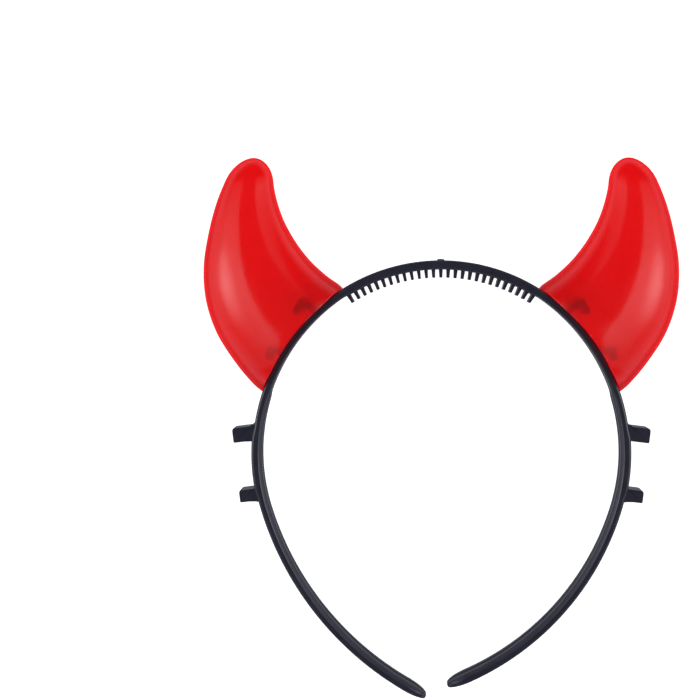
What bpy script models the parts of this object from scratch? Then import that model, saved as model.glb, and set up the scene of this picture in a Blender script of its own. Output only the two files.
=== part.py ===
"""Devil horns headband: a moulded black headband and two hollow red horns pushed over its hooks.

The headband is drawn in its own plane: X to the right, Y from the arm ends up to the horns, Z to the front, with
the centre of the crown's arc as the origin. Everything then lies down on its back, on the horns and the arm ends.
"""

from math import atan2, cos, pi, radians, sin, sqrt

import bmesh
import bpy
from mathutils import Matrix, Vector

MM = 0.001
LEFT, RIGHT = -1, 1
SIDE_NAMES = {LEFT: "left", RIGHT: "right"}

# Headband, measured on its outer edge
CROWN_RADIUS = 63.3 * MM
CROWN_HALF_ANGLE = 40.0
SIDE_RADIUS = 67.0 * MM
SIDE_END_ANGLE = 107.0
ARM_RADIUS_LEFT = 108.0 * MM
ARM_RADIUS_RIGHT = 94.8 * MM
HALF_LENGTH = 211.2 * MM
BAND_DEPTH = 9.0 * MM
BAND_THICKNESS = 3.15 * MM
THINNING_AT_HORNS = 0.4 * MM
SWELL_AT_TABS = 0.4 * MM
EASE_LENGTH = 4.0 * MM
OUTER_BEVEL = 0.5 * MM
CROWN_INNER_BEVEL = 0.5 * MM
ARM_INNER_BEVEL = 1.1 * MM
GROOVE_WIDTH = 2.4 * MM
GROOVE_FLOOR_WIDTH = 1.4 * MM
GROOVE_DEPTH = 0.6 * MM
STATION_STEP = 4.0 * MM
EASE_PARTS = 4

# Arm tips
TIP_TAPER = 8.0 * MM
TIP_DEPTH_SHARE = 0.28
TIP_THICKNESS_SHARE = 0.45
TIP_LIFT = 0.8 * MM
TIP_STATIONS = 8

# Comb inside the crown
TEETH_EACH_SIDE = 13
TOOTH_PITCH = 2.69 * MM
TOOTH_LENGTH = 2.8 * MM
TOOTH_WIDTH = 1.0 * MM
TOOTH_DEPTH = 7.0 * MM
TOOTH_TIP_ROUND = 0.3 * MM
TOOTH_ROUND_STEPS = 2

# Tabs on the arms, placed along the outer edge from the crown's top
TAB_DEPTH = 8.4 * MM
TAB_DROP_ANGLE = 7.0
TAB_CORNER_ROUND = 0.9 * MM
TAB_ROUND_STEPS = 3
UPPER_TAB = {"along": 95.7 * MM, "length": 7.1 * MM, "height": 5.0 * MM}
LOWER_TAB = {"along": 116.8 * MM, "length": 5.9 * MM, "height": 4.2 * MM}

# Moulding nub on the crown's top
NUB_RADIUS = 1.2 * MM
NUB_HEIGHT = 0.5 * MM
NUB_SIDES = 12

# Horns
HORN_ALONG = 58.5 * MM
HORN_BASE_LENGTH = 46.1 * MM
HORN_LENGTH = 62.1 * MM
HORN_DEPTH = 25.0 * MM
HORN_WALL = 1.2 * MM
HORN_TIP_ROUND = 8.1 * MM
HORN_TIP_DEPTH_ROUND = 10.5 * MM
HORN_BASE_BLEND = 12.0 * MM
HORN_GAP = 0.3 * MM
RING_POINTS = 32
PLAIN_RINGS = 15
TIP_RINGS = 4
SPINE_STEPS = 36

# The horn bends back towards the crown. Each row is one flat cut across it, given by its middle, its size and its
# turn from the base's own line. Columns: out from the band and back along it as shares of HORN_LENGTH, width as a
# share of HORN_BASE_LENGTH, depth as a share of HORN_DEPTH, turn in degrees
HORN_CUTS = (
    # out, back, width, depth, turn
    (-0.064, 0.000, 0.985, 1.000, 0.0),
    (-0.014, 0.003, 0.987, 1.000, 3.0),
    (0.106, 0.018, 0.943, 0.975, 8.0),
    (0.251, 0.056, 0.888, 0.930, 15.0),
    (0.381, 0.121, 0.807, 0.870, 22.0),
    (0.488, 0.207, 0.698, 0.790, 30.0),
    (0.575, 0.306, 0.574, 0.695, 38.0),
    (0.654, 0.417, 0.457, 0.590, 46.0),
    (0.713, 0.529, 0.352, 0.490, 55.0),
    (0.755, 0.643, 0.284, 0.420, 63.0),
)

# Hooks inside the horns. "from_centre" is measured along the band from the middle of the horn's base
UPPER_HOOK = {"from_centre": -11.1 * MM, "rise": 6.4 * MM, "barb": 5.4 * MM}
LOWER_HOOK = {"from_centre": 7.6 * MM, "rise": 4.6 * MM, "barb": 4.6 * MM}
HOOK_THICKNESS = 2.1 * MM
HOOK_LEAN_ANGLE = 16.0
HOOK_BARB_ANGLE = 95.0
HOOK_CLEARANCE = 0.5 * MM

# How far the roots of the teeth, tabs, hooks and nub reach into the band, and how much thinner a hook's root is
ROOT_SINK = 1.5 * MM
HOOK_ROOT_INSET = 0.1 * MM

# Edges sharper than this stay sharp in the shading
BAND_SHARP_ANGLE = 30.0
HORN_SHARP_ANGLE = 40.0

# Search for the angle at which everything lies on its back
MOST_TILT = 20.0
TILT_HALVINGS = 40


def clear_scene():
    for thing in list(bpy.data.objects):
        bpy.data.objects.remove(thing, do_unlink=True)


def plastic(name, colour, roughness):
    material = bpy.data.materials.new(name)
    material.use_nodes = True
    shader = material.node_tree.nodes["Principled BSDF"]
    shader.inputs["Base Color"].default_value = (*colour, 1.0)
    shader.inputs["Roughness"].default_value = roughness
    shader.inputs["Metallic"].default_value = 0.0
    material.diffuse_color = (*colour, 1.0)
    return material


def make_object(name, mesh_builder, material=None):
    """A closed mesh from a bmesh, with its faces turned outwards, linked to the scene."""
    bmesh.ops.recalc_face_normals(mesh_builder, faces=mesh_builder.faces)
    mesh = bpy.data.meshes.new(name)
    mesh_builder.to_mesh(mesh)
    mesh_builder.free()
    thing = bpy.data.objects.new(name, mesh)
    bpy.context.scene.collection.objects.link(thing)
    if material:
        mesh.materials.append(material)
    return thing


def shade_round(mesh, sharp_angle):
    mesh.shade_smooth()
    mesh.set_sharp_from_angle(angle=radians(sharp_angle))


def direction(angle):
    """Unit vector turned clockwise by angle from +Y."""
    return Vector((sin(angle), cos(angle)))


def edge_frame(side, along, proud=0.0):
    """Point `along` the band's outer edge from the crown's top, `proud` outside it, and the outward normal."""
    arcs = (
        (CROWN_RADIUS, radians(CROWN_HALF_ANGLE)),
        (SIDE_RADIUS, radians(SIDE_END_ANGLE)),
        (ARM_RADIUS_LEFT if side == LEFT else ARM_RADIUS_RIGHT, None),
    )
    centre = Vector((0.0, 0.0))
    angle = 0.0
    left_over = along
    for number, (radius, end_angle) in enumerate(arcs):
        if end_angle is None or left_over <= radius * (end_angle - angle):
            break
        left_over -= radius * (end_angle - angle)
        angle = end_angle
        centre = centre + direction(angle) * (radius - arcs[number + 1][0])
    outward = direction(angle + left_over / radius)
    point = centre + outward * (radius + proud)
    return Vector((side * point.x, point.y)), Vector((side * outward.x, outward.y))


def smooth_step(share):
    share = min(max(share, 0.0), 1.0)
    return share * share * (3.0 - 2.0 * share)


def loft(rings):
    """A bmesh skin through rings of equal point counts, with a flat face over each end."""
    builder = bmesh.new()
    loops = [[builder.verts.new(point) for point in ring] for ring in rings]
    count = len(loops[0])
    for first, second in zip(loops, loops[1:]):
        for i in range(count):
            j = (i + 1) % count
            builder.faces.new((first[i], first[j], second[j], second[i]))
    builder.faces.new(loops[0])
    builder.faces.new(loops[-1])
    return builder


def horn_start():
    return HORN_ALONG - HORN_BASE_LENGTH / 2


def horn_end():
    return HORN_ALONG + HORN_BASE_LENGTH / 2


def eased(along, place):
    """Rises from 0 to 1 over EASE_LENGTH about a place along the band."""
    return smooth_step((along - place) / EASE_LENGTH + 0.5)


def between(along, start, end):
    return eased(along, start) * (1.0 - eased(along, end))


def band_section(along):
    """Points (inward from the outer edge, front) of the band's section."""
    arm = eased(along, horn_end())
    thickness = BAND_THICKNESS - THINNING_AT_HORNS * between(along, horn_start(), horn_end())
    swell = SWELL_AT_TABS * between(along, UPPER_TAB["along"], LOWER_TAB["along"])
    to_tip = min((HALF_LENGTH - along) / TIP_TAPER, 1.0)
    full = sqrt(max(1.0 - (1.0 - to_tip) ** 2, 0.0))
    narrow = TIP_DEPTH_SHARE + (1.0 - TIP_DEPTH_SHARE) * full
    slim = TIP_THICKNESS_SHARE + (1.0 - TIP_THICKNESS_SHARE) * full
    lift = TIP_LIFT * (1.0 - full) - swell
    inner = thickness * slim
    front = BAND_DEPTH / 2 * narrow
    outer_bevel = OUTER_BEVEL * narrow
    inner_bevel = (CROWN_INNER_BEVEL + arm * (ARM_INNER_BEVEL - CROWN_INNER_BEVEL)) * narrow * slim
    bottom = inner - arm * GROOVE_DEPTH * full
    half = (
        (lift, front - outer_bevel),
        (lift + outer_bevel, front),
        (inner - inner_bevel, front),
        (inner, front - inner_bevel),
        (inner, GROOVE_WIDTH / 2 * narrow),
        (bottom, GROOVE_FLOOR_WIDTH / 2 * narrow),
    )
    return half + tuple((inward, -z) for inward, z in reversed(half))


def stretch(start, end, parts):
    """Evenly spaced stations from start up to, and without, end."""
    return [start + (end - start) * i / parts for i in range(parts)]


def plain_stretch(start, end):
    return stretch(start, end, max(1, round((end - start) / STATION_STEP)))


def arm_stations():
    """Stations along one half of the band, from the crown's top to the tip. They crowd together at the round tip."""
    taper_start = HALF_LENGTH - TIP_TAPER
    ease = EASE_LENGTH / 2
    stations = []
    start = 0.0
    for place in (horn_start(), horn_end(), UPPER_TAB["along"], LOWER_TAB["along"]):
        stations += plain_stretch(start, place - ease) + stretch(place - ease, place + ease, EASE_PARTS)
        start = place + ease
    stations += plain_stretch(start, taper_start)
    for i in range(TIP_STATIONS + 1):
        stations.append(taper_start + TIP_TAPER * sin(i / TIP_STATIONS * pi / 2))
    return stations


def band_ring(side, along):
    point, outward = edge_frame(side, along)
    return [Vector((*(point - outward * inward), z)) for inward, z in band_section(along)]


def build_band():
    """The bare band from the left tip over the crown to the right tip."""
    stations = arm_stations()
    rings = [band_ring(LEFT, along) for along in reversed(stations)]
    rings += [band_ring(RIGHT, along) for along in stations[1:]]
    return loft(rings)


def add_prism(builder, outline, half_depth):
    """Adds a closed prism: an outline of (x, y) points, half_depth to the front and to the back."""
    bottom = [builder.verts.new((*point, -half_depth)) for point in outline]
    top = [builder.verts.new((*point, half_depth)) for point in outline]
    builder.faces.new(bottom)
    builder.faces.new(top)
    count = len(outline)
    for i in range(count):
        j = (i + 1) % count
        builder.faces.new((bottom[i], bottom[j], top[j], top[i]))


def add_tooth(builder, side, along):
    """One comb tooth, pointing inwards, with rounded corners at its tip."""
    point, outward = edge_frame(side, along)
    across = Vector((outward.y, -outward.x))
    half = TOOTH_WIDTH / 2
    root = BAND_THICKNESS - ROOT_SINK
    shoulder = BAND_THICKNESS + TOOTH_LENGTH - TOOTH_TIP_ROUND
    outline = [point - outward * root + across * half, point - outward * root - across * half]
    for reach, first_turn in ((TOOTH_TIP_ROUND - half, 0.0), (half - TOOTH_TIP_ROUND, pi / 2)):
        for i in range(TOOTH_ROUND_STEPS + 1):
            turn = first_turn + pi / 2 * i / TOOTH_ROUND_STEPS
            spot = point - outward * (shoulder + TOOTH_TIP_ROUND * sin(turn))
            outline.append(spot + across * (reach - TOOTH_TIP_ROUND * cos(turn)))
    add_prism(builder, outline, TOOTH_DEPTH / 2)


def add_tab(builder, side, tab):
    """A square tab on the arm's outside, its outer end a little lowered and its upper corner rounded."""
    point, _ = edge_frame(side, tab["along"])
    drop = radians(TAB_DROP_ANGLE)
    outward = Vector((side * cos(drop), -sin(drop)))
    up = Vector((side * sin(drop), cos(drop)))
    start = point - outward * ROOT_SINK
    end = point + outward * tab["length"]
    rise = up * tab["height"] / 2
    middle = end + rise - (outward + up) * TAB_CORNER_ROUND
    outline = [start + rise, start - rise, end - rise]
    for i in range(TAB_ROUND_STEPS + 1):
        turn = pi / 2 * i / TAB_ROUND_STEPS
        outline.append(middle + (outward * cos(turn) + up * sin(turn)) * TAB_CORNER_ROUND)
    add_prism(builder, outline, TAB_DEPTH / 2)


def add_nub(builder):
    """The stub that the moulding gate leaves at the crown's top."""
    point, outward = edge_frame(RIGHT, 0.0)
    length = NUB_HEIGHT + ROOT_SINK
    middle = point + outward * (NUB_HEIGHT - length / 2)
    place = Matrix.Translation((*middle, 0.0)) @ Matrix.Rotation(pi / 2, 4, "X")
    bmesh.ops.create_cone(
        builder, cap_ends=True, segments=NUB_SIDES, radius1=NUB_RADIUS, radius2=NUB_RADIUS, depth=length, matrix=place
    )


def horn_cuts():
    """Rows (out, back, width, depth, turn) from base to tip, in metres and degrees, smooth through HORN_CUTS."""
    scale = (HORN_LENGTH, HORN_LENGTH, HORN_BASE_LENGTH, HORN_DEPTH, 1.0)
    rows = [Vector([share * size for share, size in zip(row, scale)]) for row in HORN_CUTS]
    before = rows[0] * 2 - rows[1]
    after = rows[-1] * 2 - rows[-2]
    knots = [before, *rows, after]
    spans = len(rows) - 1
    made = []
    for i in range(SPINE_STEPS + 1):
        place = spans * i / SPINE_STEPS
        span = min(int(place), spans - 1)
        t = place - span
        a, b, c, d = knots[span : span + 4]
        cubic = (b * 3 - c * 3 + d - a) * t**3 + (a * 2 - b * 5 + c * 4 - d) * t**2 + (c - a) * t
        made.append(b + cubic / 2)
    return made


def round_share(to_end, round_length):
    """How wide a round end is, as a share, at a distance from its tip."""
    return sqrt(1.0 - max(1.0 - to_end / round_length, 0.0) ** 2)


def horn_rings(side, wall):
    """The horn's skin, moved inwards by wall: rings from the band's own curve to the tip, and the tip's point."""
    base, outward = edge_frame(side, HORN_ALONG, HORN_GAP)
    towards_crown = Vector((-side * outward.y, side * outward.x))
    cuts = horn_cuts()
    middles = [base + outward * cut[0] + towards_crown * cut[1] for cut in cuts]
    lengths = [0.0]
    for first, second in zip(middles, middles[1:]):
        lengths.append(lengths[-1] + (second - first).length)
    end = lengths[-1] - wall
    turns = [2 * pi * i / RING_POINTS for i in range(RING_POINTS)]

    def at(length):
        i = max(j for j in range(len(middles) - 1) if lengths[j] <= length + 1e-9)
        share = (length - lengths[i]) / (lengths[i + 1] - lengths[i])
        return middles[i].lerp(middles[i + 1], share), cuts[i].lerp(cuts[i + 1], share)

    def ring(length):
        middle, cut = at(length)
        turned = radians(cut[4])
        across = outward * sin(turned) - towards_crown * cos(turned)
        wide = (cut[2] / 2 - wall) * round_share(end - length, HORN_TIP_ROUND)
        deep = (cut[3] / 2 - wall) * round_share(end - length, HORN_TIP_DEPTH_ROUND)
        return [Vector((*(middle + across * wide * cos(turn)), deep * sin(turn))) for turn in turns]

    bends = []
    for turn, point in zip(turns, ring(0.0)):
        on_band, _ = edge_frame(side, HORN_ALONG + (HORN_BASE_LENGTH / 2 - wall) * cos(turn), HORN_GAP)
        bends.append(Vector((*on_band, point.z)) - point)
    rings = []
    round_start = end - HORN_TIP_ROUND
    for i in range(PLAIN_RINGS + 1):
        length = round_start * i / PLAIN_RINGS
        pull = 1.0 - smooth_step(length / HORN_BASE_BLEND)
        rings.append([point + bend * pull for point, bend in zip(ring(length), bends)])
    for i in range(1, TIP_RINGS + 1):
        rings.append(ring(round_start + HORN_TIP_ROUND * sin(pi / 2 * i / (TIP_RINGS + 1))))
    tip, _ = at(end)
    return rings, Vector((*tip, 0.0))


def build_horn(side, material):
    """A hollow horn, open at its base: an outer and an inner skin joined round the rim."""
    builder = bmesh.new()
    rims = []
    for wall in (0.0, HORN_WALL):
        rings, tip = horn_rings(side, wall)
        loops = [[builder.verts.new(point) for point in ring] for ring in rings]
        for first, second in zip(loops, loops[1:]):
            for i in range(RING_POINTS):
                j = (i + 1) % RING_POINTS
                builder.faces.new((first[i], first[j], second[j], second[i]))
        pole = builder.verts.new(tip)
        for i in range(RING_POINTS):
            builder.faces.new((loops[-1][i], loops[-1][(i + 1) % RING_POINTS], pole))
        rims.append(loops[0])
    for i in range(RING_POINTS):
        j = (i + 1) % RING_POINTS
        builder.faces.new((rims[0][i], rims[0][j], rims[1][j], rims[1][i]))
    horn = make_object("horn_" + SIDE_NAMES[side], builder, material)
    shade_round(horn.data, HORN_SHARP_ANGLE)
    return horn


def hook_half_depth(hook):
    """Half the room between the horn's front and back walls, where the hook's barb is."""
    cut = min(horn_cuts(), key=lambda candidate: abs(candidate[0] - hook["rise"]))
    ends = (hook["from_centre"] - HOOK_THICKNESS / 2, hook["from_centre"] + hook["barb"])
    reach = max(abs(end + cut[1]) for end in ends)
    room = cut[3] / 2 - HORN_WALL
    return room * sqrt(1.0 - (reach / (cut[2] / 2 - HORN_WALL)) ** 2) - HOOK_CLEARANCE


def hook_frame(side, hook):
    """Where a hook leaves the band, the band's outward normal there, and the directions of its stem and barb."""
    point, outward = edge_frame(side, HORN_ALONG + hook["from_centre"])
    angle = atan2(side * outward.x, outward.y) + radians(HOOK_LEAN_ANGLE)
    stem = direction(angle)
    barb = direction(angle + radians(HOOK_BARB_ANGLE))
    return point, outward, Vector((side * stem.x, stem.y)), Vector((side * barb.x, barb.y))


def add_hook(builder, side, hook):
    """An L-shaped hook, as deep as the horn allows: a leaning stem with a barb at its end, along the band."""
    point, outward, stem, barb = hook_frame(side, hook)
    across = Vector((stem.y, -stem.x)) * side
    half = HOOK_THICKNESS / 2
    corner = point + stem * hook["rise"] - across * half
    elbow = corner + barb * HOOK_THICKNESS - stem * HOOK_THICKNESS
    barb_end = corner + barb * hook["barb"]
    foot = point + outward * HORN_GAP
    outline = [
        foot - across * half,
        foot + across * half,
        elbow,
        barb_end - stem * HOOK_THICKNESS,
        barb_end,
        corner,
    ]
    add_prism(builder, outline, hook_half_depth(hook))


def add_hook_root(builder, side, hook):
    """The short stub, no deeper than the band, that joins a hook to it."""
    point, outward, stem, _ = hook_frame(side, hook)
    half = Vector((stem.y, -stem.x)) * side * (HOOK_THICKNESS / 2 - HOOK_ROOT_INSET)
    start = point - outward * ROOT_SINK
    end = point + stem * HOOK_THICKNESS
    add_prism(builder, [start - half, start + half, end + half, end - half], BAND_DEPTH / 2 - OUTER_BEVEL)


def union(target, builder, name):
    """Joins the closed shapes in builder to target."""
    helper = make_object(name, builder)
    helper.hide_render = True
    helper.display_type = "WIRE"
    join = target.modifiers.new(name, "BOOLEAN")
    join.operation = "UNION"
    join.solver = "EXACT"
    join.use_self = True
    join.object = helper
    return helper


def build_headband(material):
    """The band with its comb, tabs, hooks and nub, all one moulded piece."""
    headband = make_object("headband", build_band(), material)
    shade_round(headband.data, BAND_SHARP_ANGLE)
    comb = bmesh.new()
    for number in range(-TEETH_EACH_SIDE, TEETH_EACH_SIDE + 1):
        add_tooth(comb, LEFT if number < 0 else RIGHT, abs(number) * TOOTH_PITCH)
    fittings = bmesh.new()
    roots = bmesh.new()
    add_nub(fittings)
    for side in (LEFT, RIGHT):
        for tab in (UPPER_TAB, LOWER_TAB):
            add_tab(fittings, side, tab)
        for hook in (UPPER_HOOK, LOWER_HOOK):
            add_hook_root(roots, side, hook)
            add_hook(fittings, side, hook)
    helpers = [
        union(headband, comb, "comb_helper"),
        union(headband, roots, "root_helper"),
        union(headband, fittings, "fitting_helper"),
    ]
    return headband, helpers


def world_points(things):
    """Every vertex of the finished shapes, before they are laid down."""
    graph = bpy.context.evaluated_depsgraph_get()
    points = []
    for thing in things:
        finished = thing.evaluated_get(graph)
        mesh = finished.to_mesh()
        points += [vertex.co.copy() for vertex in mesh.vertices]
        finished.to_mesh_clear()
    return points


def resting_tilt(points):
    """The turn about X that rests the back of the arms and the back of the horns on one level."""
    arms = [point for point in points if point.y < 0]
    horns = [point for point in points if point.y >= 0]
    low, high = 0.0, radians(MOST_TILT)
    for _ in range(TILT_HALVINGS):
        tilt = (low + high) / 2
        arm_level = min(p.y * sin(tilt) + p.z * cos(tilt) for p in arms)
        horn_level = min(p.y * sin(tilt) + p.z * cos(tilt) for p in horns)
        if horn_level < arm_level:
            low = tilt
        else:
            high = tilt
    return (low + high) / 2


def lay_down(things):
    """Parents everything to an empty that lays it on its back, with the origin under the middle of its box."""
    bpy.context.view_layer.update()
    points = world_points([thing for thing in things if not thing.hide_render])
    turn = Matrix.Rotation(resting_tilt(points), 4, "X")
    laid = [turn @ point for point in points]
    low = [min(point[i] for point in laid) for i in range(3)]
    high = [max(point[i] for point in laid) for i in range(3)]
    shift = Vector((-(low[0] + high[0]) / 2, -(low[1] + high[1]) / 2, -low[2]))
    holder = bpy.data.objects.new("lying_down", None)
    bpy.context.scene.collection.objects.link(holder)
    holder.matrix_world = Matrix.Translation(shift) @ turn
    for thing in things:
        thing.parent = holder


def main():
    clear_scene()
    black = plastic("black_plastic", (0.02, 0.022, 0.027), 0.38)
    red = plastic("red_plastic", (0.72, 0.01, 0.012), 0.12)
    headband, helpers = build_headband(black)
    horns = [build_horn(side, red) for side in (LEFT, RIGHT)]
    lay_down([headband, *horns, *helpers])


main()
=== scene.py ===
"""Devil horns headband: the black moulded headband and its two hollow, glossy red horns.

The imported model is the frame. Each piece here is drawn in the headband's own axes, in
millimetres: X to the right, Y from the arm ends up to the horns, Z to the front, with the
centre of the crown's arc as the origin. It is then laid on its back, as the model lies.
"""

from math import atan2, cos, pi, radians, sin, sqrt

import bmesh
import bpy
from mathutils import Matrix, Vector


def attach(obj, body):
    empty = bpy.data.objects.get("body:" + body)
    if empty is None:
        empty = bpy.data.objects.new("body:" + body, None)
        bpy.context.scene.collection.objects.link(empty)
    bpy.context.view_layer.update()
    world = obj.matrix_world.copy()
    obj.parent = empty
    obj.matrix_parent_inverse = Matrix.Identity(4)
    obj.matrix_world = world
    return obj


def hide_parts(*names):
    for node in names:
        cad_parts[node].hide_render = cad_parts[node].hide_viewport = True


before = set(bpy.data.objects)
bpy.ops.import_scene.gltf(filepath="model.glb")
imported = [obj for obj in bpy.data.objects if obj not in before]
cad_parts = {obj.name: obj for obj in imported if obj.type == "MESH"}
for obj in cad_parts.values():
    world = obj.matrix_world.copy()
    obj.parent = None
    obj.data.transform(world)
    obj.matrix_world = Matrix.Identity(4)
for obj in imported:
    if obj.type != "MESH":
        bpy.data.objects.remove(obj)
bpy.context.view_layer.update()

MM = 0.001
LEFT, RIGHT = -1, 1
SIDE_NAMES = {LEFT: "left", RIGHT: "right"}

# How the model lies: turned about X by degrees, then moved along Y and Z
LYING_TILT = 3.74775209
LYING_SHIFT = (0.0, -5.614, 9.965)

# Headband, measured on its outer edge from the top of the crown
CROWN_RADIUS = 63.3
CROWN_HALF_ANGLE = 40.0
SIDE_RADIUS = 67.0
SIDE_END_ANGLE = 107.0
ARM_RADIUS_LEFT = 108.0
ARM_RADIUS_RIGHT = 94.8
HALF_LENGTH = 211.2
BAND_DEPTH = 9.0
BAND_THICKNESS = 3.15
THINNING_AT_HORNS = 0.4
SWELL_AT_TABS = 0.4
EASE_LENGTH = 4.0
OUTER_BEVEL = 0.5
CROWN_INNER_BEVEL = 0.5
ARM_INNER_BEVEL = 1.1
GROOVE_WIDTH = 2.4
GROOVE_FLOOR_WIDTH = 1.4
GROOVE_DEPTH = 0.6
BAND_CORNER_ROUNDS = (0.4, 0.4, 0.3, 0.35, 0.2, 0.25)
BAND_CORNER_STEPS = 3
BAND_STEP = 1.0

# Arm tips
TIP_TAPER = 8.0
TIP_DEPTH_SHARE = 0.28
TIP_THICKNESS_SHARE = 0.45
TIP_LIFT = 0.8
TIP_STATIONS = 20
TIP_CAP = (
    # from the end, share of the section
    (0.3, 1.0),
    (0.12, 0.85),
    (0.0, 0.55),
)

# How far tabs, teeth, hooks and nub are sunk in the band
ROOT_SINK = 1.5

# Rounding: the most of a side that one corner takes, a corner left sharp, a prism's edges
CORNER_SHARE = 0.48
SHARP_CORNER = 0.001
EDGE_SEGMENTS = 2

# Comb
TEETH_EACH_SIDE = 13
TOOTH_PITCH = 2.69
TOOTH_LENGTH = 2.8
TOOTH_WIDTH = 1.0
TOOTH_DEPTH = 7.0
TOOTH_TIP_ROUND = 0.3
TOOTH_FILLET = 0.15
TOOTH_FILLET_SINK = 0.02
TOOTH_EDGE = 0.12
TOOTH_ROUND_STEPS = 4

# Tabs
TAB_DEPTH = 8.4
TAB_DROP_ANGLE = 7.0
UPPER_TAB = {"along": 95.7, "length": 7.1, "height": 5.0}
LOWER_TAB = {"along": 116.8, "length": 5.9, "height": 4.2}
TAB_CORNER_ROUND = 0.9
TAB_LOW_CORNER = 0.35
TAB_CORNER_STEPS = 5
TAB_FILLET = 0.45
TAB_FILLET_LIFT = 0.1
TAB_EDGE = 0.28

# Nub at the top of the crown
NUB_RADIUS = 1.2
NUB_POINTS = 24
NUB_LEVELS = (
    # height, share of the radius
    (-ROOT_SINK, 1.25),
    (0.0, 1.25),
    (0.12, 1.05),
    (0.3, 1.0),
    (0.44, 0.9),
    (0.5, 0.6),
)

# Horns
HORN_ALONG = 58.5
HORN_BASE_LENGTH = 46.1
HORN_LENGTH = 62.1
HORN_DEPTH = 25.0
HORN_WALL = 1.2
HORN_TIP_ROUND = 8.1
HORN_TIP_DEPTH_ROUND = 10.5
HORN_BASE_BLEND = 12.0
HORN_GAP = 0.3
HORN_CUTS = (
    # out, back, width, depth, turn: shares of the sizes above, and degrees
    (-0.064, 0.000, 0.985, 1.000, 0.0),
    (-0.014, 0.003, 0.987, 1.000, 3.0),
    (0.106, 0.018, 0.943, 0.975, 8.0),
    (0.251, 0.056, 0.888, 0.930, 15.0),
    (0.381, 0.121, 0.807, 0.870, 22.0),
    (0.488, 0.207, 0.698, 0.790, 30.0),
    (0.575, 0.306, 0.574, 0.695, 38.0),
    (0.654, 0.417, 0.457, 0.590, 46.0),
    (0.713, 0.529, 0.352, 0.490, 55.0),
    (0.755, 0.643, 0.284, 0.420, 63.0),
)
SPINE_STEPS = 180
HORN_RING_POINTS = 120
HORN_PLAIN_RINGS = 64
HORN_TIP_RINGS = 16
HORN_SKIN_INSET = 0.07
HORN_TIP_INSET = 0.03

# Front rim of the horns, which dips in front of the band over a part of the ring
RIM_DIP = 0.85
RIM_DIP_START = 0.4
RIM_DIP_EASE = 0.5
RIM_GAP = 0.06
RIM_ROUND = 0.3
RIM_SEGMENTS = 3

# Hooks: places from the middle of the horn's base, and clearance to its wall
UPPER_HOOK = {"from_centre": -11.1, "rise": 6.4, "barb": 5.4, "clearance": 0.2}
LOWER_HOOK = {"from_centre": 7.6, "rise": 4.6, "barb": 4.6, "clearance": 3.0}
HOOK_THICKNESS = 2.1
HOOK_LEAN_ANGLE = 16.0
HOOK_BARB_ANGLE = 95.0
HOOK_CORNER_ROUNDS = (0.01, 0.01, 0.4, 0.5, 0.5, 0.6)
HOOK_CORNER_STEPS = 3
STUB_INSET = 0.1
STUB_EDGE = 0.1

# Shading: edges sharper than these angles stay sharp, and faces as square to the front
# as this cosine are flat
HEADBAND_SHARP_ANGLE = 35.0
HORN_SHARP_ANGLE = 50.0
FLAT_FACE_COSINE = 0.99995

# Black plastic
BLACK_COLOURS = ((0.0155, 0.0155, 0.029), (0.0225, 0.0225, 0.039))
BLACK_ROUGHNESS = (0.15, 0.22)
BLACK_SPECULAR = 0.65

# Red plastic: the share of it that lets light through, and of that the share that passes
# straight on instead of being scattered
RED_COLOURS = ((0.86, 0.003, 0.005), (0.90, 0.006, 0.008))
RED_ROUGHNESS = (0.13, 0.18)
RED_SPECULAR = 1.0
RED_IOR = 1.6
RED_THROUGH = 0.6
RED_THROUGH_COLOUR = (0.88, 0.006, 0.010, 1.0)
RED_STRAIGHT = 0.46
RED_STRAIGHT_ROUGHNESS = 0.03
RED_STRAIGHT_IOR = 1.05

# Floor, in metres
FLOOR_REACH = 4.0
FLOOR_DROP = 0.0002
FLOOR_COLOUR = (0.9, 0.9, 0.9, 1.0)
FLOOR_ROUGHNESS = 0.9
FLOOR_GLOW = 0.8

# Camera: place in the headband's axes, and its turns in degrees
LENS_PX = 1450.13
PHOTO_HEIGHT = 699
SENSOR = 36.0
CAMERA_PLACE = (-8.17, 58.13, 499.42)
CAMERA_TURN = (-0.4423, 0.8343, -0.0154)
CAMERA_SHIFT = (-0.08, -0.09)
CAMERA_NEAR = 0.01

# Softboxes at both sides, in metres, dimmer towards their edges and with a hot middle
SOFTBOX_DISTANCE = 1.3
SOFTBOX_AZIMUTH = 50.0
SOFTBOX_SIZE = (1.82, 1.5)
SOFTBOX_POWER = 10.6
SOFTBOX_HOT = 3.0
SOFTBOX_HOT_REACH = (0.08, 0.40)
SOFTBOX_EDGE = 0.25
SOFTBOX_OUTER_FADE = (1.1, 1.55)
SOFTBOX_LOWER_FADE = (-0.55, 0.0)
SOFTBOX_UPPER_FADE = (0.15, 0.65)

# Fill light above, in metres
FILL_HEIGHT = 1.6
FILL_SIZE = 2.0
FILL_POWER = 7.7

# World: strengths, and between which heights of the view they change
WORLD_COLOUR = (0.86, 0.90, 1.0, 1.0)
WORLD_ABOVE = 0.1
WORLD_HORIZON = 0.9
WORLD_BELOW = 0.25
WORLD_ABOVE_FADE = (0.05, 0.45)
WORLD_BELOW_FADE = (-0.25, 0.0)

LYING_TURN = Matrix.Rotation(radians(LYING_TILT), 4, "X")
LAY = Matrix.Translation(Vector(LYING_SHIFT) * MM) @ LYING_TURN @ Matrix.Scale(MM, 4)


def direction(angle):
    """Unit vector turned clockwise by angle from +Y."""
    return Vector((sin(angle), cos(angle)))


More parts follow.
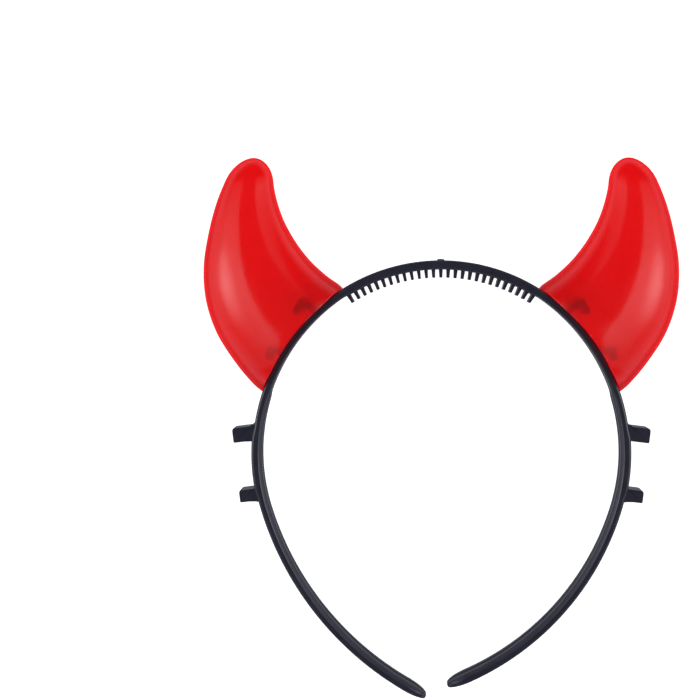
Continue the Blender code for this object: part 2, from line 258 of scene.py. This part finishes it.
def edge_frame(side, along, proud=0.0):
    """Point of the band's outer edge `along` from the top, `proud` outside it, and the normal."""
    arcs = (
        (CROWN_RADIUS, radians(CROWN_HALF_ANGLE)),
        (SIDE_RADIUS, radians(SIDE_END_ANGLE)),
        (ARM_RADIUS_LEFT if side == LEFT else ARM_RADIUS_RIGHT, None),
    )
    centre = Vector((0.0, 0.0))
    angle = 0.0
    left_over = along
    for number, (radius, end_angle) in enumerate(arcs):
        if end_angle is None or left_over <= radius * (end_angle - angle):
            break
        left_over -= radius * (end_angle - angle)
        angle = end_angle
        centre = centre + direction(angle) * (radius - arcs[number + 1][0])
    outward = direction(angle + left_over / radius)
    point = centre + outward * (radius + proud)
    return Vector((side * point.x, point.y)), Vector((side * outward.x, outward.y))


def smooth_step(share):
    share = min(max(share, 0.0), 1.0)
    return share * share * (3.0 - 2.0 * share)


def eased(along, place):
    """From 0 before place to 1 after it."""
    return smooth_step((along - place) / EASE_LENGTH + 0.5)


def between(along, start, end):
    return eased(along, start) * (1.0 - eased(along, end))


def rounded(points, radii, steps):
    """A closed outline with each corner turned into a short curve."""
    made = []
    count = len(points)
    for i, radius in enumerate(radii):
        corner = Vector(points[i])
        back = Vector(points[i - 1]) - corner
        on = Vector(points[(i + 1) % count]) - corner
        start = corner + back.normalized() * min(radius, CORNER_SHARE * back.length)
        end = corner + on.normalized() * min(radius, CORNER_SHARE * on.length)
        for step in range(steps + 1):
            t = step / steps
            made.append(start * (1 - t) ** 2 + corner * (2 * t * (1 - t)) + end * t**2)
    return made


def band_section(along, shrink=1.0):
    """Points (inward from the outer edge, front) of the band's section."""
    horn_start = HORN_ALONG - HORN_BASE_LENGTH / 2
    horn_end = HORN_ALONG + HORN_BASE_LENGTH / 2
    arm = eased(along, horn_end)
    thickness = BAND_THICKNESS - THINNING_AT_HORNS * between(along, horn_start, horn_end)
    swell = SWELL_AT_TABS * between(along, UPPER_TAB["along"], LOWER_TAB["along"])
    to_tip = min((HALF_LENGTH - along) / TIP_TAPER, 1.0)
    full = sqrt(max(1.0 - (1.0 - to_tip) ** 2, 0.0))
    narrow = TIP_DEPTH_SHARE + (1.0 - TIP_DEPTH_SHARE) * full
    slim = TIP_THICKNESS_SHARE + (1.0 - TIP_THICKNESS_SHARE) * full
    lift = TIP_LIFT * (1.0 - full) - swell
    inner = thickness * slim
    front = BAND_DEPTH / 2 * narrow
    outer_bevel = OUTER_BEVEL * narrow
    inner_bevel = CROWN_INNER_BEVEL + arm * (ARM_INNER_BEVEL - CROWN_INNER_BEVEL)
    inner_bevel *= narrow * slim
    bottom = inner - arm * GROOVE_DEPTH * full
    half = (
        (lift, front - outer_bevel),
        (lift + outer_bevel, front),
        (inner - inner_bevel, front),
        (inner, front - inner_bevel),
        (inner, GROOVE_WIDTH / 2 * narrow),
        (bottom, GROOVE_FLOOR_WIDTH / 2 * narrow),
    )
    outline = half + tuple((inward, -z) for inward, z in reversed(half))
    rounds = [r * narrow for r in BAND_CORNER_ROUNDS + BAND_CORNER_ROUNDS[::-1]]
    made = rounded(outline, rounds, BAND_CORNER_STEPS)
    middle = Vector(((lift + inner) / 2, 0.0))
    return [middle + (point - middle) * shrink for point in made]


def band_ring(side, along, shrink=1.0):
    point, outward = edge_frame(side, along)
    section = band_section(along, shrink)
    return [Vector((*(point - outward * place.x), place.y)) for place in section]


def half_stations():
    """(along, shrink) of the sections from the crown's top to one tip."""
    taper_start = HALF_LENGTH - TIP_TAPER
    parts = round(taper_start / BAND_STEP)
    places = [(taper_start * i / parts, 1.0) for i in range(parts)]
    tip_length = TIP_TAPER - TIP_CAP[0][0]
    for i in range(TIP_STATIONS):
        places.append((taper_start + tip_length * sin(i / TIP_STATIONS * pi / 2), 1.0))
    return places + [(HALF_LENGTH - back, shrink) for back, shrink in TIP_CAP]


def skin(builder, rings, close_ends=True):
    """Faces through rings of equal point counts."""
    loops = [[builder.verts.new(point) for point in ring] for ring in rings]
    count = len(loops[0])
    for first, second in zip(loops, loops[1:]):
        for i in range(count):
            j = (i + 1) % count
            builder.faces.new((first[i], first[j], second[j], second[i]))
    if close_ends:
        builder.faces.new(loops[0])
        builder.faces.new(loops[-1])
    return loops


def round_edges(builder, edges, offset, segments):
    bmesh.ops.bevel(
        builder, geom=edges, offset=offset, segments=segments, profile=0.5, affect="EDGES"
    )


def prism(outline, half_depth, edge):
    """A closed prism with its front and back edges rounded."""
    builder = bmesh.new()
    back = [builder.verts.new((*point, -half_depth)) for point in outline]
    front = [builder.verts.new((*point, half_depth)) for point in outline]
    caps = [builder.faces.new(back), builder.faces.new(front)]
    count = len(outline)
    for i in range(count):
        j = (i + 1) % count
        builder.faces.new((back[i], back[j], front[j], front[i]))
    rims = {rim for cap in caps for rim in cap.edges}
    round_edges(builder, list(rims), edge, EDGE_SEGMENTS)
    return builder


def join(builder, other):
    """Adds the faces of other to builder."""
    mesh = bpy.data.meshes.new("joined")
    bmesh.ops.recalc_face_normals(other, faces=other.faces)
    other.to_mesh(mesh)
    other.free()
    builder.from_mesh(mesh)
    bpy.data.meshes.remove(mesh)


def tooth_outline(side, along):
    """A comb tooth with a fillet at its root and a round tip."""
    point, outward = edge_frame(side, along)
    across = Vector((outward.y, -outward.x))
    half = TOOTH_WIDTH / 2
    flat = half - TOOTH_TIP_ROUND
    root = half + TOOTH_FILLET
    surface = BAND_THICKNESS - TOOTH_FILLET_SINK
    shoulder = BAND_THICKNESS + TOOTH_LENGTH - TOOTH_TIP_ROUND
    turns = [pi / 2 * i / TOOTH_ROUND_STEPS for i in range(TOOTH_ROUND_STEPS + 1)]
    halves = [(BAND_THICKNESS - ROOT_SINK, root), (surface, root)]
    for turn in turns[1:]:
        depth = surface + TOOTH_FILLET * (1 - cos(turn))
        halves.append((depth, half + TOOTH_FILLET * (1 - sin(turn))))
    for turn in turns:
        depth = shoulder + TOOTH_TIP_ROUND * sin(turn)
        halves.append((depth, flat + TOOTH_TIP_ROUND * cos(turn)))
    right = [point - outward * depth + across * reach for depth, reach in halves]
    left = [point - outward * depth - across * reach for depth, reach in halves]
    return right + left[::-1]


def tab_outline(side, tab):
    """A square tab with a fillet at its root and a round upper corner."""
    point, _ = edge_frame(side, tab["along"])
    drop = radians(TAB_DROP_ANGLE)
    outward = Vector((side * cos(drop), -sin(drop)))
    up = Vector((side * sin(drop), cos(drop)))
    start = point - outward * ROOT_SINK
    root = point + outward * TAB_FILLET_LIFT
    end = point + outward * tab["length"]
    rise = up * tab["height"] / 2
    flare = up * TAB_FILLET
    corners = (
        (start - rise - flare, SHARP_CORNER),
        (root - rise - flare, SHARP_CORNER),
        (root - rise, TAB_FILLET),
        (end - rise, TAB_LOW_CORNER),
        (end + rise, TAB_CORNER_ROUND),
        (root + rise, TAB_FILLET),
        (root + rise + flare, SHARP_CORNER),
        (start + rise + flare, SHARP_CORNER),
    )
    points = [corner for corner, _ in corners]
    return rounded(points, [radius for _, radius in corners], TAB_CORNER_STEPS)


def horn_frame(side):
    """The middle of the horn's base, and its directions outward and towards the crown."""
    base, outward = edge_frame(side, HORN_ALONG, HORN_GAP)
    return base, outward, Vector((-side * outward.y, side * outward.x))


def horn_cuts():
    """Rows (out, back, width, depth, turn) from base to tip, smooth through HORN_CUTS."""
    scale = (HORN_LENGTH, HORN_LENGTH, HORN_BASE_LENGTH, HORN_DEPTH, 1.0)
    rows = [Vector([share * size for share, size in zip(row, scale)]) for row in HORN_CUTS]
    before = rows[0] * 2 - rows[1]
    after = rows[-1] * 2 - rows[-2]
    knots = [before, *rows, after]
    spans = len(rows) - 1
    made = []
    for i in range(SPINE_STEPS + 1):
        place = spans * i / SPINE_STEPS
        span = min(int(place), spans - 1)
        t = place - span
        a, b, c, d = knots[span : span + 4]
        cubic = (b * 3 - c * 3 + d - a) * t**3
        cubic += (a * 2 - b * 5 + c * 4 - d) * t**2 + (c - a) * t
        made.append(b + cubic / 2)
    return made


def round_share(to_end, round_length):
    """How wide a round end is, as a share, at a distance from its tip."""
    return sqrt(1.0 - max(1.0 - to_end / round_length, 0.0) ** 2)


def horn_rings(side, wall):
    """The horn's skin, moved inwards by wall: rings from the band's curve on, and the tip."""
    base, outward, towards_crown = horn_frame(side)
    cuts = horn_cuts()
    middles = [base + outward * cut[0] + towards_crown * cut[1] for cut in cuts]
    lengths = [0.0]
    for first, second in zip(middles, middles[1:]):
        lengths.append(lengths[-1] + (second - first).length)
    end = lengths[-1] - wall - HORN_TIP_INSET
    turns = [2 * pi * i / HORN_RING_POINTS for i in range(HORN_RING_POINTS)]

    def at(length):
        i = max(j for j in range(len(middles) - 1) if lengths[j] <= length)
        share = (length - lengths[i]) / (lengths[i + 1] - lengths[i])
        return middles[i].lerp(middles[i + 1], share), cuts[i].lerp(cuts[i + 1], share)

    def ring(length):
        middle, cut = at(length)
        turned = radians(cut[4])
        across = outward * sin(turned) - towards_crown * cos(turned)
        wide = (cut[2] / 2 - wall) * round_share(end - length, HORN_TIP_ROUND)
        deep = (cut[3] / 2 - wall) * round_share(end - length, HORN_TIP_DEPTH_ROUND)
        return [
            Vector((*(middle + across * wide * cos(turn)), deep * sin(turn))) for turn in turns
        ]

    reach = HORN_BASE_LENGTH / 2 - wall
    bends = []
    for turn, point in zip(turns, ring(0.0)):
        dip = RIM_DIP * smooth_step((sin(turn) - RIM_DIP_START) / RIM_DIP_EASE)
        on_band, _ = edge_frame(side, HORN_ALONG + reach * cos(turn), RIM_GAP - dip)
        bends.append(Vector((*on_band, point.z)) - point)
    rings = []
    round_start = end - HORN_TIP_ROUND
    for i in range(HORN_PLAIN_RINGS + 1):
        length = round_start * i / HORN_PLAIN_RINGS
        pull = 1.0 - smooth_step(length / HORN_BASE_BLEND)
        rings.append([point + bend * pull for point, bend in zip(ring(length), bends)])
    for i in range(1, HORN_TIP_RINGS + 1):
        share = sin(pi / 2 * i / (HORN_TIP_RINGS + 1))
        rings.append(ring(round_start + HORN_TIP_ROUND * share))
    tip, _ = at(end)
    return rings, Vector((*tip, 0.0))


def build_horn(side):
    """A closed shell: an outer and an inner skin joined by a rounded rim."""
    builder = bmesh.new()
    rims = []
    for wall in (HORN_SKIN_INSET, HORN_WALL):
        rings, tip = horn_rings(side, wall)
        loops = skin(builder, rings, close_ends=False)
        pole = builder.verts.new(tip)
        for i in range(HORN_RING_POINTS):
            j = (i + 1) % HORN_RING_POINTS
            builder.faces.new((loops[-1][i], loops[-1][j], pole))
        rims.append(loops[0])
    for i in range(HORN_RING_POINTS):
        j = (i + 1) % HORN_RING_POINTS
        builder.faces.new((rims[0][i], rims[0][j], rims[1][j], rims[1][i]))
    rim_edges = []
    for rim in rims:
        rim_edges += [builder.edges.get((rim[i - 1], rim[i])) for i in range(HORN_RING_POINTS)]
    round_edges(builder, rim_edges, RIM_ROUND, RIM_SEGMENTS)
    return builder


def room_in_horn(side, point):
    """How far the horn's front wall is from its middle plane, at a point near the base."""
    base, outward, towards_crown = horn_frame(side)
    away = point - base
    cut = min(horn_cuts(), key=lambda candidate: abs(candidate[0] - away.dot(outward)))
    share = (away.dot(towards_crown) - cut[1]) / (cut[2] / 2 - HORN_WALL)
    return (cut[3] / 2 - HORN_WALL) * sqrt(1.0 - share**2)


def fitted_prism(side, outline, clearance):
    """A closed prism whose front and back stay clear of the horn's walls."""
    builder = bmesh.new()
    depths = [room_in_horn(side, point) - clearance for point in outline]
    back = [Vector((*point, -depth)) for point, depth in zip(outline, depths)]
    front = [Vector((*point, depth)) for point, depth in zip(outline, depths)]
    skin(builder, [back, front])
    return builder


def hook_prisms(side, hook):
    """The L-shaped hook and the stub that joins it to the band."""
    point, outward = edge_frame(side, HORN_ALONG + hook["from_centre"])
    angle = atan2(side * outward.x, outward.y) + radians(HOOK_LEAN_ANGLE)
    stem = direction(angle)
    barb = direction(angle + radians(HOOK_BARB_ANGLE))
    stem = Vector((side * stem.x, stem.y))
    barb = Vector((side * barb.x, barb.y))
    across = Vector((stem.y, -stem.x)) * side
    half = HOOK_THICKNESS / 2
    corner = point + stem * hook["rise"] - across * half
    elbow = corner + barb * HOOK_THICKNESS - stem * HOOK_THICKNESS
    barb_end = corner + barb * hook["barb"]
    barb_inside = barb_end - stem * HOOK_THICKNESS
    foot = point + outward * HORN_GAP
    points = [foot - across * half, foot + across * half, elbow, barb_inside, barb_end, corner]
    outline = rounded(points, HOOK_CORNER_ROUNDS, HOOK_CORNER_STEPS)
    stub = across * (half - STUB_INSET)
    start = point - outward * ROOT_SINK
    end = point + stem * HOOK_THICKNESS
    stub_outline = [start - stub, start + stub, end + stub, end - stub]
    return [
        fitted_prism(side, outline, hook["clearance"]),
        prism(stub_outline, BAND_DEPTH / 2 - OUTER_BEVEL, STUB_EDGE),
    ]


def nub():
    """The small moulding mark, a low round button."""
    builder = bmesh.new()
    point, outward = edge_frame(RIGHT, 0.0)
    rings = []
    for height, share in NUB_LEVELS:
        spot = point + outward * height
        radius = NUB_RADIUS * share
        ring = []
        for i in range(NUB_POINTS):
            turn = 2 * pi * i / NUB_POINTS
            ring.append(Vector((spot.x + radius * cos(turn), spot.y, radius * sin(turn))))
        rings.append(ring)
    skin(builder, rings)
    return builder


def build_headband():
    """One moulded piece: the band with its comb, tabs, hooks and nub."""
    places = half_stations()
    rings = [band_ring(LEFT, *place) for place in reversed(places)]
    rings += [band_ring(RIGHT, *place) for place in places[1:]]
    builder = bmesh.new()
    band = bmesh.new()
    skin(band, rings)
    join(builder, band)
    for number in range(-TEETH_EACH_SIDE, TEETH_EACH_SIDE + 1):
        side = LEFT if number < 0 else RIGHT
        outline = tooth_outline(side, abs(number) * TOOTH_PITCH)
        join(builder, prism(outline, TOOTH_DEPTH / 2, TOOTH_EDGE))
    for side in (LEFT, RIGHT):
        for tab in (UPPER_TAB, LOWER_TAB):
            join(builder, prism(tab_outline(side, tab), TAB_DEPTH / 2, TAB_EDGE))
        for hook in (UPPER_HOOK, LOWER_HOOK):
            for piece in hook_prisms(side, hook):
                join(builder, piece)
    join(builder, nub())
    return builder


def make_piece(name, builder, material, replaced, sharp_angle):
    """Turns builder into a piece of the model, laid on its back, in place of a CAD node."""
    bmesh.ops.recalc_face_normals(builder, faces=builder.faces)
    mesh = bpy.data.meshes.new(name)
    builder.to_mesh(mesh)
    builder.free()
    mesh.transform(LAY)
    mesh.materials.append(material)
    mesh.shade_smooth()
    front = (LAY.to_3x3() @ Vector((0.0, 0.0, 1.0))).normalized()
    for face in mesh.polygons:
        face.use_smooth = abs(face.normal.dot(front)) < FLAT_FACE_COSINE
    mesh.set_sharp_from_angle(angle=radians(sharp_angle))
    piece = bpy.data.objects.new(name, mesh)
    bpy.context.scene.collection.objects.link(piece)
    weighted = piece.modifiers.new("weighted_normals", "WEIGHTED_NORMAL")
    weighted.keep_sharp = True
    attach(piece, "root")
    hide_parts(replaced)


def new_material(name):
    material = bpy.data.materials.new(name)
    material.use_nodes = True
    tree = material.node_tree
    tree.nodes.clear()
    output = tree.nodes.new("ShaderNodeOutputMaterial")
    return material, tree, output


def noise(tree, coordinates, scale, detail):
    node = tree.nodes.new("ShaderNodeTexNoise")
    node.inputs["Scale"].default_value = scale
    node.inputs["Detail"].default_value = detail
    tree.links.new(coordinates, node.inputs["Vector"])
    return node.outputs["Fac"]


def spread(tree, source, low, high, from_low=0.3, from_high=0.7):
    """Maps the source's range to low and high; without a range it is a noise's."""
    node = tree.nodes.new("ShaderNodeMapRange")
    node.inputs["From Min"].default_value = from_low
    node.inputs["From Max"].default_value = from_high
    node.inputs["To Min"].default_value = low
    node.inputs["To Max"].default_value = high
    tree.links.new(source, node.inputs["Value"])
    return node.outputs["Result"]


def colour_mix(tree, factor, first, second):
    node = tree.nodes.new("ShaderNodeMix")
    node.data_type = "RGBA"
    for socket, value in ((node.inputs[6], first), (node.inputs[7], second)):
        socket.default_value = (*value, 1.0)
    tree.links.new(factor, node.inputs[0])
    return node.outputs[2]


def bump(tree, height, strength, distance, normal=None):
    node = tree.nodes.new("ShaderNodeBump")
    node.inputs["Strength"].default_value = strength
    node.inputs["Distance"].default_value = distance
    tree.links.new(height, node.inputs["Height"])
    if normal:
        tree.links.new(normal, node.inputs["Normal"])
    return node.outputs["Normal"]


def math_node(tree, operation, *sources):
    node = tree.nodes.new("ShaderNodeMath")
    node.operation = operation
    for socket, source in zip(node.inputs, sources):
        tree.links.new(source, socket)
    return node.outputs["Value"]


def shader_mix(tree, first, second):
    """A mix of two shaders, and the socket of the second one's share."""
    node = tree.nodes.new("ShaderNodeMixShader")
    tree.links.new(first, node.inputs[1])
    tree.links.new(second, node.inputs[2])
    return node.outputs["Shader"], node.inputs["Fac"]


def black_plastic():
    """Satin moulded plastic, bluish black, with a fine grain and faint flow marks."""
    material, tree, output = new_material("black_moulded_plastic")
    place = tree.nodes.new("ShaderNodeTexCoord").outputs["Object"]
    shader = tree.nodes.new("ShaderNodeBsdfPrincipled")
    clouds = spread(tree, noise(tree, place, scale=140.0, detail=4.0), 0.0, 1.0)
    colour = colour_mix(tree, clouds, *BLACK_COLOURS)
    tree.links.new(colour, shader.inputs["Base Color"])
    patches = noise(tree, place, scale=420.0, detail=3.0)
    tree.links.new(spread(tree, patches, *BLACK_ROUGHNESS), shader.inputs["Roughness"])
    shader.inputs["Specular IOR Level"].default_value = BLACK_SPECULAR
    fine = noise(tree, place, scale=3200.0, detail=2.0)
    grain = bump(tree, fine, strength=0.15, distance=0.00004)
    flow = noise(tree, place, scale=260.0, detail=2.0)
    waves = bump(tree, flow, strength=0.2, distance=0.0002, normal=grain)
    tree.links.new(waves, shader.inputs["Normal"])
    tree.links.new(shader.outputs["BSDF"], output.inputs["Surface"])
    return material


def red_plastic():
    """Glossy red plastic as one thin sheet that lets light through.

    Only faces seen from outside the wall act: rays inside the wall pass on unhindered.
    """
    material, tree, output = new_material("red_translucent_plastic")
    place = tree.nodes.new("ShaderNodeTexCoord").outputs["Object"]
    shader = tree.nodes.new("ShaderNodeBsdfPrincipled")
    clouds = spread(tree, noise(tree, place, scale=45.0, detail=3.0), 0.0, 1.0)
    colour = colour_mix(tree, clouds, *RED_COLOURS)
    tree.links.new(colour, shader.inputs["Base Color"])
    patches = noise(tree, place, scale=120.0, detail=2.0)
    tree.links.new(spread(tree, patches, *RED_ROUGHNESS), shader.inputs["Roughness"])
    shader.inputs["Specular IOR Level"].default_value = RED_SPECULAR
    shader.inputs["IOR"].default_value = RED_IOR
    flow = noise(tree, place, scale=70.0, detail=1.0)
    waves = bump(tree, flow, strength=0.1, distance=0.0003)
    tree.links.new(waves, shader.inputs["Normal"])
    scattered = tree.nodes.new("ShaderNodeBsdfTranslucent")
    scattered.inputs["Color"].default_value = RED_THROUGH_COLOUR
    straight = tree.nodes.new("ShaderNodeBsdfRefraction")
    straight.inputs["Color"].default_value = RED_THROUGH_COLOUR
    straight.inputs["Roughness"].default_value = RED_STRAIGHT_ROUGHNESS
    straight.inputs["IOR"].default_value = RED_STRAIGHT_IOR
    clear = tree.nodes.new("ShaderNodeBsdfTransparent")
    inside = tree.nodes.new("ShaderNodeNewGeometry").outputs["Backfacing"]
    through, share = shader_mix(tree, scattered.outputs["BSDF"], straight.outputs["BSDF"])
    share.default_value = RED_STRAIGHT
    sheet, share = shader_mix(tree, shader.outputs["BSDF"], through)
    share.default_value = RED_THROUGH
    wall, share = shader_mix(tree, sheet, clear.outputs["BSDF"])
    tree.links.new(inside, share)
    tree.links.new(wall, output.inputs["Surface"])
    return material


def floor_material():
    material, tree, output = new_material("white_floor")
    shader = tree.nodes.new("ShaderNodeBsdfPrincipled")
    shader.inputs["Base Color"].default_value = FLOOR_COLOUR
    shader.inputs["Roughness"].default_value = FLOOR_ROUGHNESS
    shader.inputs["Specular IOR Level"].default_value = 0.0
    shader.inputs["Emission Color"].default_value = (1.0, 1.0, 1.0, 1.0)
    shader.inputs["Emission Strength"].default_value = FLOOR_GLOW
    tree.links.new(shader.outputs["BSDF"], output.inputs["Surface"])
    return material


def add_floor():
    """A white floor that isn't mirrored in the gloss."""
    mesh = bpy.data.meshes.new("floor")
    signs = ((-1, -1), (1, -1), (1, 1), (-1, 1))
    corners = [(FLOOR_REACH * x, FLOOR_REACH * y, 0.0) for x, y in signs]
    mesh.from_pydata(corners, [], [(0, 1, 2, 3)])
    mesh.materials.append(floor_material())
    floor = bpy.data.objects.new("floor", mesh)
    floor.location.z = -FLOOR_DROP
    bpy.context.scene.collection.objects.link(floor)
    floor.visible_glossy = False


def add_softbox(name, side):
    """A large softbox at one side, whose reflection makes the bright stripe of each horn."""
    azimuth = radians(SOFTBOX_AZIMUTH) * side
    light = bpy.data.lights.new(name, "AREA")
    light.shape = "RECTANGLE"
    light.size, light.size_y = SOFTBOX_SIZE
    light.energy = SOFTBOX_POWER
    lamp = bpy.data.objects.new(name, light)
    away = Vector((sin(azimuth), 0.0, cos(azimuth)))
    place = LAY @ (away * SOFTBOX_DISTANCE / MM)
    lamp.location = place
    lamp.rotation_euler = (place - LAY @ Vector()).to_track_quat("Z", "Y").to_euler()
    bpy.context.scene.collection.objects.link(lamp)
    light.use_nodes = True
    tree = light.node_tree
    tree.nodes.clear()
    output = tree.nodes.new("ShaderNodeOutputLight")
    emission = tree.nodes.new("ShaderNodeEmission")
    spot = tree.nodes.new("ShaderNodeNewGeometry").outputs["Position"]
    from_centre = tree.nodes.new("ShaderNodeVectorMath")
    from_centre.operation = "DISTANCE"
    from_centre.inputs[1].default_value = place
    tree.links.new(spot, from_centre.inputs[0])
    parts = tree.nodes.new("ShaderNodeSeparateXYZ")
    tree.links.new(spot, parts.inputs["Vector"])
    outwards = math_node(tree, "ABSOLUTE", parts.outputs["X"])
    fades = (
        spread(tree, outwards, 1.0, SOFTBOX_EDGE, *SOFTBOX_OUTER_FADE),
        spread(tree, parts.outputs["Y"], SOFTBOX_EDGE, 1.0, *SOFTBOX_LOWER_FADE),
        spread(tree, parts.outputs["Y"], 1.0, SOFTBOX_EDGE, *SOFTBOX_UPPER_FADE),
    )
    strength = spread(tree, from_centre.outputs["Value"], SOFTBOX_HOT, 1.0, *SOFTBOX_HOT_REACH)
    for fade in fades:
        strength = math_node(tree, "MULTIPLY", strength, fade)
    tree.links.new(strength, emission.inputs["Strength"])
    tree.links.new(emission.outputs["Emission"], output.inputs["Surface"])


def add_fill():
    """A large light above that evens out the shading and isn't mirrored in the gloss."""
    light = bpy.data.lights.new("fill", "AREA")
    light.shape = "SQUARE"
    light.size = FILL_SIZE
    light.energy = FILL_POWER
    lamp = bpy.data.objects.new("fill", light)
    lamp.location = (0.0, 0.0, FILL_HEIGHT)
    lamp.visible_glossy = False
    bpy.context.scene.collection.objects.link(lamp)


def add_world():
    """Dim above, brighter along the horizon, so that bevels and rims catch a light edge."""
    world = bpy.data.worlds.new("studio")
    world.use_nodes = True
    tree = world.node_tree
    background = tree.nodes["Background"]
    background.inputs["Color"].default_value = WORLD_COLOUR
    parts = tree.nodes.new("ShaderNodeSeparateXYZ")
    view = tree.nodes.new("ShaderNodeTexCoord").outputs["Generated"]
    tree.links.new(view, parts.inputs["Vector"])
    height = parts.outputs["Z"]
    above = spread(tree, height, WORLD_HORIZON, WORLD_ABOVE, *WORLD_ABOVE_FADE)
    below = spread(tree, height, WORLD_BELOW, WORLD_HORIZON, *WORLD_BELOW_FADE)
    tree.links.new(math_node(tree, "MINIMUM", above, below), background.inputs["Strength"])
    bpy.context.scene.world = world


def add_camera():
    data = bpy.data.cameras.new("photo_camera")
    data.sensor_fit = "AUTO"
    data.sensor_width = SENSOR
    data.lens = LENS_PX * SENSOR / PHOTO_HEIGHT
    data.shift_x, data.shift_y = CAMERA_SHIFT
    data.clip_start = CAMERA_NEAR
    camera = bpy.data.objects.new("photo_camera", data)
    pitch, yaw, roll = (Matrix.Rotation(radians(a), 4, axis) for a, axis in zip(CAMERA_TURN, "XYZ"))
    place = Matrix.Translation(LAY @ Vector(CAMERA_PLACE))
    camera.matrix_world = place @ LYING_TURN @ pitch @ yaw @ roll
    bpy.context.scene.collection.objects.link(camera)
    bpy.context.scene.camera = camera


add_camera()
black = black_plastic()
red = red_plastic()
make_piece(
    "headband_moulding", build_headband(), black, "headband", HEADBAND_SHARP_ANGLE
)
for side in (LEFT, RIGHT):
    name = "horn_" + SIDE_NAMES[side]
    make_piece(name + "_shell", build_horn(side), red, name, HORN_SHARP_ANGLE)
add_floor()
for side in (LEFT, RIGHT):
    add_softbox("softbox_" + SIDE_NAMES[side], side)
add_fill()
add_world()
bpy.context.scene.view_settings.view_transform = "Standard"
